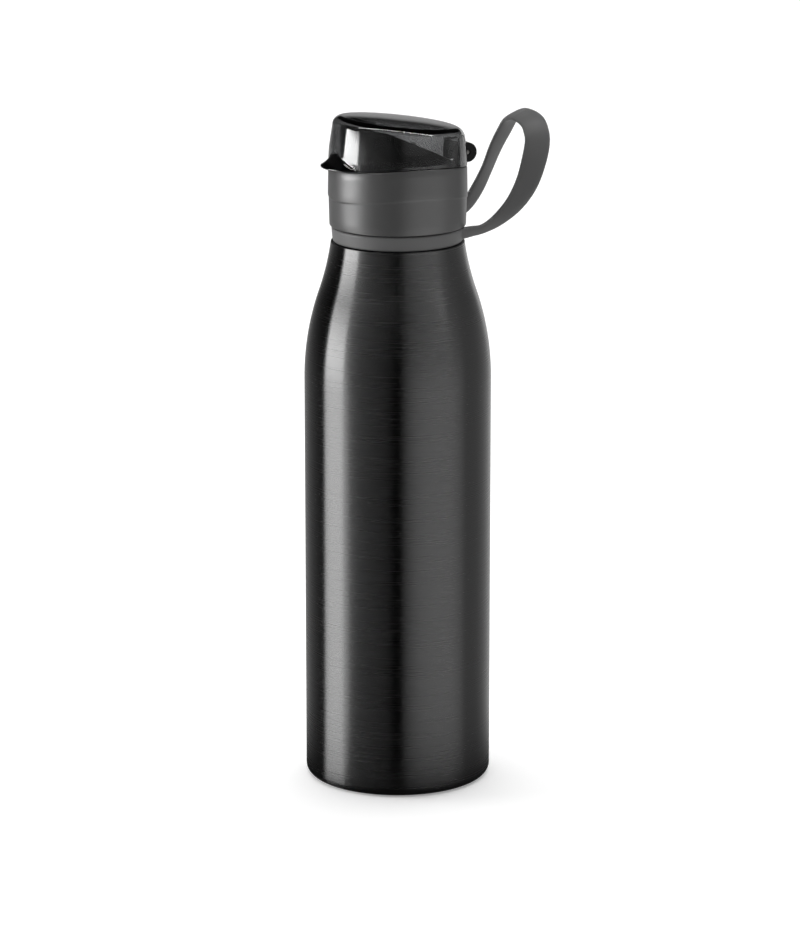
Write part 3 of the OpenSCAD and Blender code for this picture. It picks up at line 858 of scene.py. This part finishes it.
# %% [markdown]
# ## The clear lid
# The lid is moulded in smoked styrene, clear enough to show the spout. Its wall leans in, its
# top is tilted towards the hinge and its rim is rounded. A solid block with a dark colour
# would look black through and through. So the outer and the inner surface are made alike and
# joined at the lower edge, and light bends in the wall as in a real one.

# %% Smoked styrene
smoked, tree, shader = new_material("smoked_clear_styrene", {
    "Base Color": linear("#f4f5f6"), "Roughness": 0.02, "IOR": 1.57, "Transmission Weight": 1.0})
# The gloss of the polished tool varies in patches of 11 mm.
uneven_gloss(tree, shader, 90, 3, 0.01, 0.05)
# The dye takes off two fifths of the light in each millimetre, so that thick places look darker.
dye = add(tree, "ShaderNodeVolumeAbsorption", values={"Color": (0, 0, 0, 1), "Density": 500.0})
exit_node = next(n for n in tree.nodes if n.type == "OUTPUT_MATERIAL")
tree.links.new(dye.outputs[0], exit_node.inputs["Volume"])

# %% The lid's wall and tab
LID_TOP = 237.0
LID_TILT, LID_DRAFT, LID_T, LID_ROUND, LID_GAP = 6.6, 8.5, 2.0, 3.0, 0.25
FOOT_TOP, HALF_H = ARCH_Z + 1, 3.6
# The wall is drawn up to here and then cut at the tilted top.
WALL_END = 242
TAB_R, TAB_OUT, TAB_Z, TAB_LIP = 13.5, 4, 222.1, 0.5
TAB_Y = CAP_R + TAB_OUT - TAB_R
# The tab's upper side is a hollow of this radius, whose axis lies so far outside the tab.
HOLLOW_R, HOLLOW_OUT = 11, 5.5
HOLLOW_HEIGHTS = (0.52, 0.7, 0.95, 1.3, 1.75, 2.3, 2.9, 3.6, 4.3, 5, 5.7, 6.4)


def lid_wall(z):
    """Radius of the lid's outer wall: a straight foot, half the draft, then the whole."""
    half = math.tan(math.radians(LID_DRAFT / 2))
    whole = math.tan(math.radians(LID_DRAFT))
    if z < FOOT_TOP:
        return CAP_R
    if z < FOOT_TOP + HALF_H:
        return CAP_R - half * (z - FOOT_TOP)
    return CAP_R - half * HALF_H - whole * (z - FOOT_TOP - HALF_H)


def tab_reach(turn, rho):
    """How far out a circle round the tab's own axis lies, at an angle round the bottle."""
    side = TAB_Y * math.cos(turn)
    under = rho ** 2 - side ** 2
    return -TAB_Y * math.sin(turn) + math.sqrt(under) if under > 0 and math.sin(turn) < 0 else 0


def soft_max(a, b, blend):
    """The larger of two values, with a rounded change from one to the other."""
    lap = max(0, blend - abs(a - b))
    return max(a, b) + lap * lap / (4 * blend)


def lid_edge(r):
    """A row at the lid's lower edge, which follows the arch."""
    return lambda turn: (r, arch(CAP_R * math.sin(turn)) + LID_GAP)


def tab_row(height, rho_in):
    """A row of the lid's foot, at a height over its lower edge, flared out to the tab."""
    def row(turn):
        edge = lid_edge(CAP_R)(turn)[1]
        flare = min(1, max(0, (tab_reach(turn, TAB_R) - CAP_R) / 1.5))
        z = edge + height + flare * max(0, TAB_Z - edge)
        return soft_max(lid_wall(z), tab_reach(turn, TAB_R - rho_in), 0.5), z
    return row


def tab_in(height):
    """How far the tab's hollow upper side has drawn in, at a height over the tab's underside."""
    centre = TAB_LIP + math.sqrt(HOLLOW_R ** 2 - HOLLOW_OUT ** 2)
    return math.sqrt(HOLLOW_R ** 2 - (centre - height) ** 2) - HOLLOW_OUT


# %% The lid's two surfaces
CROWN, CROWN_RINGS = 1.0, 6


def lid_surface(rows, inset):
    """One surface of the lid, open below: rows, a cut at the tilted top, and a crown."""
    bm, _ = rise_by_rows(rows)
    lean = math.radians(LID_TILT)
    up = Vector((0, math.sin(lean), math.cos(lean)))
    top = Vector((0, 0, LID_TOP)) - up * inset
    cut = bmesh.ops.bisect_plane(bm, geom=bm.verts[:] + bm.edges[:] + bm.faces[:], dist=10 * MERGE,
                                 plane_co=top * MM, plane_no=up, clear_outer=True)["geom_cut"]
    rim = [g for g in cut if isinstance(g, bmesh.types.BMEdge)]
    flat = bmesh.ops.contextual_create(bm, geom=rim)["faces"]
    bmesh.ops.recalc_face_normals(bm, faces=bm.faces)
    bmesh.ops.bevel(bm, geom=list(flat[0].edges), offset=(LID_ROUND - inset) * MM, offset_type="OFFSET",
                    affect="EDGES", segments=10, profile=0.5, material=-1, clamp_overlap=False)
    # The flat top is crowned: rings are inset and raised, each less than the one outside it.
    crown = max(bm.faces, key=lambda f: len(f.verts))
    for k in range(CROWN_RINGS):
        share = (2 * (CROWN_RINGS - k) - 1) / CROWN_RINGS ** 2
        bmesh.ops.inset_region(bm, faces=[crown], thickness=3 * MM, depth=CROWN * share * MM,
                               use_even_offset=True)
    return bm


outer_rows = [lid_edge(CAP_R - 0.5), tab_row(0, 0.2), tab_row(0.12, 0.04), tab_row(0.25, 0.0),
              tab_row(0.38, 0.04)]
outer_rows += [tab_row(height, tab_in(height)) for height in HOLLOW_HEIGHTS]
outer_rows += [level(lid_wall(WALL_END), WALL_END)]
inner_rows = [lid_edge(CAP_R - LID_T), level(CAP_R - LID_T, FOOT_TOP)]
inner_rows += [level(lid_wall(z) - LID_T, z) for z in (FOOT_TOP + HALF_H, WALL_END)]
inner = lid_surface(inner_rows, LID_T)
bmesh.ops.reverse_faces(inner, faces=inner.faces)
bm = join(lid_surface(outer_rows, 0), inner)
bmesh.ops.bridge_loops(bm, edges=[e for e in bm.edges if e.is_boundary])
lid_form = new_object(bm, "lid_form")

# %% [markdown]
# ## The lid's hinge
# The lid turns on one knuckle between the cap's two ears. A notch is cut in its wall so
# that it can swing past them, and the knuckle hangs in the notch on a short web. These are
# plain forms, so they are cut and joined as such.

# %% Hinge notch and knuckle
HINGE = joint_place("lid_hinge")
BARREL_R, BARREL_L, KNUCKLE_L, PIN_R = 3.45, 11, 4.6, 1.0
NOTCH_W, NOTCH_R = BARREL_L + 0.8, BARREL_R + 0.5
NOTCH_IN, NOTCH_OUT, NOTCH_FOOT = 19.5, 30, 215
# A drill of this length passes right through.
THROUGH = 30


def barrel(radius, length, rounding=0.0, segments=64):
    """A cylinder along the hinge's axis, with rounded ends if asked for."""
    bm = bmesh.new()
    bmesh.ops.create_cone(bm, cap_ends=True, segments=segments, radius1=radius * MM,
                          radius2=radius * MM, depth=length * MM)
    if rounding:
        ends = [e for e in bm.edges if abs(e.verts[0].co.z - e.verts[1].co.z) < MERGE]
        bmesh.ops.bevel(bm, geom=ends, offset=rounding * MM, offset_type="OFFSET", affect="EDGES",
                        segments=3, profile=0.5, material=-1)
    bmesh.ops.rotate(bm, cent=(0, 0, 0), matrix=Matrix.Rotation(math.pi / 2, 3, "Y"), verts=bm.verts)
    bmesh.ops.translate(bm, vec=HINGE * MM, verts=bm.verts)
    return bm


def block(width, low, high):
    """A block across the hinge, between two corners given by y and z."""
    bm = bmesh.new()
    bmesh.ops.create_cube(bm, size=1)
    low, high = Vector((-width / 2, *low)) * MM, Vector((width / 2, *high)) * MM
    bmesh.ops.scale(bm, vec=high - low, verts=bm.verts)
    bmesh.ops.translate(bm, vec=(low + high) / 2, verts=bm.verts)
    return bm


notch = block(NOTCH_W, (NOTCH_IN, NOTCH_FOOT), (NOTCH_OUT, HINGE.z))
web = block(KNUCKLE_L, (HINGE.y - 2.2, HINGE.z), (HINGE.y - 0.9, HINGE.z + NOTCH_R + 0.6))
form = combine(lid_form, "DIFFERENCE", barrel(NOTCH_R, NOTCH_W), notch)
form = combine(form, "UNION", barrel(BARREL_R, KNUCKLE_L), web)
form = combine(form, "DIFFERENCE", barrel(PIN_R + 0.05, THROUGH, segments=32))
make_piece(evaluated(form), "lid", smoked, "lid", ["flip_lid"], 30)

# %% [markdown]
# ## The inner cap
# Under the sleeve sits a black polypropylene cap: a threaded skirt, a deck with a hole for the
# spout, a collar round it and two ears that hold the hinge pin. Most of it shows only when
# the lid is open or the cap is off. The ring form is extruded row by row as the sleeve was,
# because its collar follows the arch.

# %% Black polypropylene
black_plastic, tree, shader = new_material("moulded_black_polypropylene", {
    "Base Color": linear("#0a0a0b"), "Roughness": 0.26, "IOR": 1.49, "Specular IOR Level": 0.14})
# Tool marks are too fine to show, so the grain is drawn at 0.3 mm. Flow marks are 4 mm wide.
grain(tree, shader, 3300, 0.12, 0.02)
uneven_gloss(tree, shader, 250, 4, 0.22, 0.36)

# %% Inner cap
SKIRT_IN, SKIRT_R, COLLAR_IN = 21.3, 22.6, 20.6
DECK_Z, DECK_TOP = RIM_Z + 1.7, RIM_Z + 3.5
SKIRT_Z, COLLAR_DROP, HOLE_R = CAP_Z + 0.8, 0.7, 15.9
rows = [level(SKIRT_IN, SKIRT_Z + 0.6), level(SKIRT_IN + 0.3, SKIRT_Z + 0.1), level(SKIRT_IN + 0.5, SKIRT_Z),
        level(SKIRT_R - 0.3, SKIRT_Z), level(SKIRT_R - 0.08, SKIRT_Z + 0.08), level(SKIRT_R, SKIRT_Z + 0.3),
        arched(SKIRT_R, COLLAR_DROP + 0.3), arched(SKIRT_R - 0.08, COLLAR_DROP + 0.08),
        arched(SKIRT_R - 0.3, COLLAR_DROP), arched(COLLAR_IN + 0.3, COLLAR_DROP),
        arched(COLLAR_IN + 0.08, COLLAR_DROP + 0.08), arched(COLLAR_IN, COLLAR_DROP + 0.3),
        level(COLLAR_IN, DECK_TOP + 0.5), level(COLLAR_IN - 0.12, DECK_TOP + 0.12),
        level(COLLAR_IN - 0.5, DECK_TOP), level(HOLE_R + 0.3, DECK_TOP), level(HOLE_R, DECK_TOP - 0.3),
        level(HOLE_R, DECK_Z + 0.3), level(HOLE_R + 0.3, DECK_Z), level(SKIRT_IN - 0.5, DECK_Z),
        level(SKIRT_IN - 0.12, DECK_Z - 0.12), level(SKIRT_IN, DECK_Z - 0.5)]
inner_cap = new_object(closed_rows(rows), "inner_cap")

# %% The cap's ears
# Each ear is an arm that comes up inside the collar and ends in the hinge's barrel.
EAR_L = (BARREL_L - KNUCKLE_L - 0.5) / 2
EAR_X = (KNUCKLE_L + 0.5) / 2
ARM_IN, ARM_OUT = COLLAR_IN + 0.3, math.sqrt(SKIRT_R ** 2 - BARREL_L ** 2 / 4) - 0.3


def ear(side):
    """The arm of one ear, at the side given by -1 or 1."""
    bm = bmesh.new()
    edge_z = arch(CAP_R) + 0.7
    outline = [(ARM_IN, DECK_Z + 0.5), (ARM_OUT, DECK_Z + 0.5), (ARM_OUT, edge_z),
               (HINGE.y, HINGE.z - BARREL_R), (HINGE.y, HINGE.z),
               (HINGE.y - BARREL_R * math.cos(math.radians(30)), HINGE.z + BARREL_R / 2),
               (ARM_IN, HINGE.z)]
    low = min(side * EAR_X, side * (EAR_X + EAR_L))
    face = bm.faces.new([bm.verts.new(Vector((low, y, z)) * MM) for y, z in outline])
    grown = bmesh.ops.extrude_face_region(bm, geom=[face])["geom"]
    verts = [g for g in grown if isinstance(g, bmesh.types.BMVert)]
    bmesh.ops.translate(bm, vec=(EAR_L * MM, 0, 0), verts=verts)
    bmesh.ops.recalc_face_normals(bm, faces=bm.faces)
    return bm


def ear_barrel(side):
    bm = barrel(BARREL_R, EAR_L)
    bmesh.ops.translate(bm, vec=(side * (EAR_X + EAR_L / 2) * MM, 0, 0), verts=bm.verts)
    return bm


form = combine(inner_cap, "UNION", ear(-1), ear(1), ear_barrel(-1), ear_barrel(1))
form = combine(form, "DIFFERENCE", barrel(PIN_R + 0.01, THROUGH, segments=32))
bm = join(soften(form, 0.2), thread(SKIRT_IN, CAP_THREAD))
make_piece(bm, "inner_cap", black_plastic, "cap", ["cap_insert"], 30)

# %% [markdown]
# ## The drinking spout
# The spout's housing is a short tube with a flat, tilted top and a long slope at its back.
# It could be lofted from sections. A cylinder that is cut by two planes is truer to how its
# tool is made, and the cut edges are then rounded. The drinking slot lies in a shallow
# recess in the flat top.

# %% The spout's forms
SPOUT_R, SPOUT_FLOOR = 20.0, DECK_TOP + 0.05
SPOUT_T, FLOOR_T = 2.0, 1.5
# On the axis: heights of the flat top's plane and of the slope's. The slope falls to a wall
# of this height at the hinge.
SPOUT_FLAT, SLOPE_Z, BACK_H = LID_TOP - 2.6, LID_TOP - 6.4, 3.5
SLOPE = math.degrees(math.atan((SLOPE_Z - SPOUT_FLOOR - BACK_H) / SPOUT_R))
SLOT_L, SLOT_W, SLOT_Y, RECESS_RIM, RECESS_T = 13, 4.2, 14.3, 1.2, 1.1
# Height of the cylinder before it is cut
BLANK_H = 40


def disc(radius, low, high, segments=96):
    bm = bmesh.new()
    bmesh.ops.create_cone(bm, cap_ends=True, segments=segments, radius1=radius * MM, radius2=radius * MM,
                          depth=(high - low) * MM)
    bmesh.ops.translate(bm, vec=(0, 0, (low + high) / 2 * MM), verts=bm.verts)
    return bm


def tilted(height, angle):
    """A plane's point and its normal: it falls towards the hinge by the angle."""
    a = math.radians(angle)
    return Vector((0, 0, height)) * MM, Vector((0, math.sin(a), math.cos(a)))


def housing(inset, foot, rounding):
    """The housing's form, or its chamber's when it is inset."""
    bm = disc(SPOUT_R - inset, foot, foot + BLANK_H, 128)
    slope_z = SLOPE_Z - inset / math.cos(math.radians(SLOPE))
    for height, angle in ((SPOUT_FLAT - inset, LID_TILT), (slope_z, SLOPE)):
        point, normal = tilted(height, angle)
        cut = bmesh.ops.bisect_plane(bm, geom=bm.verts[:] + bm.edges[:] + bm.faces[:], dist=MERGE,
                                     plane_co=point, plane_no=normal, clear_outer=True)["geom_cut"]
        bmesh.ops.contextual_create(bm, geom=[g for g in cut if isinstance(g, bmesh.types.BMEdge)])
    bmesh.ops.recalc_face_normals(bm, faces=bm.faces)
    if rounding:
        low = (foot + 1) * MM
        sharp = [e for e in bm.edges if e.calc_face_angle(0) > 0.3 and min(v.co.z for v in e.verts) > low]
        bmesh.ops.bevel(bm, geom=sharp, offset=rounding * MM, offset_type="OFFSET", affect="EDGES",
                        segments=5, profile=0.5, material=-1, clamp_overlap=False)
    return bm


def slot_form(length, width, low, high, rounding=0.0):
    """A block with round ends that lies in the flat top's plane, over the drinking slot."""
    bm = bmesh.new()
    bmesh.ops.create_cube(bm, size=1)
    bmesh.ops.scale(bm, vec=Vector((length, width, high - low)) * MM, verts=bm.verts)
    upright = [e for e in bm.edges if abs(e.verts[0].co.z - e.verts[1].co.z) > 10 * MERGE]
    # The bevel stops just short of half the width, so that its two halves don't meet.
    bmesh.ops.bevel(bm, geom=upright, offset=0.4999 * width * MM, offset_type="OFFSET", affect="EDGES",
                    segments=12, profile=0.5, material=-1)
    if rounding:
        rims = [e for e in bm.edges if abs(e.verts[0].co.z - e.verts[1].co.z) < MERGE]
        rims = [e for e in rims if e.calc_face_angle(0) > 1]
        bmesh.ops.bevel(bm, geom=rims, offset=rounding * MM, offset_type="OFFSET", affect="EDGES",
                        segments=3, profile=0.5, material=-1)
    tilt = Matrix.Rotation(math.radians(-LID_TILT), 3, "X")
    bmesh.ops.translate(bm, vec=Vector((0, -SLOT_Y, (low + high) / 2)) * MM, verts=bm.verts)
    bmesh.ops.rotate(bm, cent=(0, 0, 0), matrix=tilt, verts=bm.verts)
    bmesh.ops.translate(bm, vec=Vector((0, 0, SPOUT_FLAT)) * MM, verts=bm.verts)
    return bm


# %% The air valve's holes
VENT_Y = 6.0
vent_at = (Matrix.Translation(Vector((0, VENT_Y, SLOPE_Z - VENT_Y * math.tan(math.radians(SLOPE)))) * MM)
           @ Matrix.Rotation(math.radians(-SLOPE), 4, "X"))


def vent_hole(radius, x=0.0, turn=0.0):
    """A tool that drills the slope, beside the valve's stem where x isn't 0."""
    bm = disc(radius, -4, 2, 24)
    bmesh.ops.translate(bm, vec=(x * MM, 0, 0), verts=bm.verts)
    bmesh.ops.rotate(bm, cent=(0, 0, 0), matrix=Matrix.Rotation(math.radians(turn), 3, "Z"), verts=bm.verts)
    bmesh.ops.transform(bm, matrix=vent_at, verts=bm.verts)
    return bm


# %% Spout
# The spigot under the housing snaps through the deck and has a groove for the O-ring.
PASSAGE_R, SPIGOT_R, GROOVE_R = 13.4, 15.7, 14.3
SPIGOT_END, SPIGOT_TOP = DECK_Z - 1.25, SPOUT_FLOOR + 0.2
spigot = lathe([(PASSAGE_R, SPIGOT_END), (SPIGOT_R - 0.2, SPIGOT_END), (HOLE_R + 0.5, DECK_Z - 0.05),
                (SPIGOT_R, DECK_Z - 0.05), (SPIGOT_R, DECK_Z + 0.15), (GROOVE_R, DECK_Z + 0.15),
                (GROOVE_R, DECK_Z + 1.65), (SPIGOT_R, DECK_Z + 1.65), (SPIGOT_R, SPIGOT_TOP),
                (PASSAGE_R, SPIGOT_TOP), (PASSAGE_R, SPIGOT_END)], 96)
slots = [slot_form(SLOT_L, SLOT_W, -4, 2),
         slot_form(SLOT_L + 2 * RECESS_RIM, SLOT_W + 2 * RECESS_RIM, -RECESS_T, 2)]
vents = [vent_hole(1.0)] + [vent_hole(0.6, 2.2, 45 + 90 * k) for k in range(4)]
spout_form = new_object(housing(0, SPOUT_FLOOR, 0.7), "spout_form")
form = combine(spout_form, "DIFFERENCE", housing(SPOUT_T, SPOUT_FLOOR + FLOOR_T, 0),
               disc(PASSAGE_R, SPOUT_FLOOR - 3, SPOUT_FLOOR + 1.8))
form = combine(form, "UNION", spigot)
form = combine(form, "DIFFERENCE", *slots, *vents)
make_piece(soften(form, 0.12), "drinking_spout", black_plastic, "cap", ["spout"], 32)

# %% [markdown]
# ## Soft seals and the hinge pin
# The air valve, the gasket and the O-ring are small silicone and rubber mouldings, turned
# from outlines. The plug under the lid is a rounded block. The pin is ground steel wire
# with domed ends. All but the pin's ends are hidden until the lid is open, so their outlines
# keep only the lips and ribs that seal.

# %% Silicone, rubber and steel
clear_silicone, tree, shader = new_material("clear_silicone", {
    "Base Color": linear("#c6c6c2"), "Roughness": 0.38, "IOR": 1.41, "Subsurface Weight": 0.3,
    "Subsurface Radius": (0.002, 0.002, 0.002), "Subsurface Scale": 0.5})
# The gloss of the soft moulding varies in patches of 2.5 mm.
uneven_gloss(tree, shader, 400, 3, 0.32, 0.45)
black_rubber, tree, shader = new_material("moulded_black_rubber", {
    "Base Color": linear("#1d1d1e"), "Roughness": 0.6, "IOR": 1.5})
# Rubber keeps a dusting of talc, in specks of 0.7 mm.
uneven_gloss(tree, shader, 1500, 4, 0.5, 0.72)
steel, tree, shader = new_material("ground_stainless_steel", {
    "Base Color": linear("#6b6a68"), "Metallic": 1.0, "Roughness": 0.3})
# Centreless grinding leaves rings round the pin, 0.1 mm apart.
place = add(tree, "ShaderNodeTexCoord").outputs["Object"]
along = add(tree, "ShaderNodeMapping", values={"Scale": (10000, 300, 300)}, links={"Vector": place})
ground = add(tree, "ShaderNodeTexNoise", values={"Scale": 1.0, "Detail": 2.0},
             links={"Vector": along.outputs[0]})
bump = add(tree, "ShaderNodeBump", values={"Strength": 0.15, "Distance": 0.02 * MM},
           links={"Height": ground.outputs["Fac"]})
tree.links.new(bump.outputs["Normal"], shader.inputs["Normal"])

# %% Air valve
# From the top: a button, the stem through the slope, and a flap that closes the holes.
valve = lathe([(0, 1.0), (0.5, 0.97), (0.9, 0.8), (1.45, 0.2), (1.42, 0.06), (0.93, 0.06), (0.93, -2.26),
               (3.3, -2.3), (3.4, -2.42), (3.38, -2.85), (2.6, -2.95), (0, -2.95)], 48)
bmesh.ops.transform(valve, matrix=vent_at, verts=valve.verts)
make_piece(valve, "air_valve", clear_silicone, "cap", ["vent_valve"])

# %% Gasket and O-ring
GASKET_IN, GASKET_OUT = 18.1, 20.55
GASKET_LOW, GASKET_TOP = RIM_Z + 0.05, RIM_Z + 1.65
# Fine ribs on its upper side press on the deck.
RIB_H, RIBS_AT = 0.18, (20.1, 19.8, 19.5, 19.2, 18.9, 18.6)
section = [(GASKET_OUT, GASKET_LOW + 0.25), (GASKET_OUT, GASKET_TOP - 0.25), (GASKET_OUT - 0.25, GASKET_TOP)]
section += [(r, GASKET_TOP - RIB_H * (k % 2)) for k, r in enumerate(RIBS_AT)]
section += [(GASKET_IN + 0.25, GASKET_TOP), (GASKET_IN, GASKET_TOP - 0.25), (GASKET_IN, GASKET_LOW + 0.25),
            (GASKET_IN + 0.25, GASKET_LOW), (GASKET_OUT - 0.25, GASKET_LOW), (GASKET_OUT, GASKET_LOW + 0.25)]
make_piece(lathe(section, 128), "gasket", clear_silicone, "mouth_seal", ["cap_gasket"])
o_ring = lathe(arc(15.1, DECK_Z + 0.9, 0.65, 0, 360, 20), 128)
make_piece(o_ring, "o_ring", black_rubber, "thread_rise", ["spout_o_ring"])

# %% Lid plug
# A pad on the recess, a plug in the slot and a narrower nose that finds the way in
PLUG_END = -RECESS_T - 0.6
plug = join(slot_form(SLOT_L + 2.2, SLOT_W + 2.2, 0.3 - RECESS_T, 0.95, 0.25),
            slot_form(SLOT_L - 0.6, SLOT_W - 0.6, PLUG_END, 0.4 - RECESS_T),
            slot_form(SLOT_L - 1.2, SLOT_W - 1.2, PLUG_END - 0.8, PLUG_END + 0.1, 0.3))
make_piece(plug, "lid_plug", black_rubber, "lid", ["lid_seal"], 50)

# %% Hinge pin
pin = barrel(PIN_R, BARREL_L - 0.6, rounding=0.35, segments=48)
make_piece(pin, "hinge_pin_wire", steel, "cap", ["hinge_pin"], 50)

# %% The size of what is drawn
low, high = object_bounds()
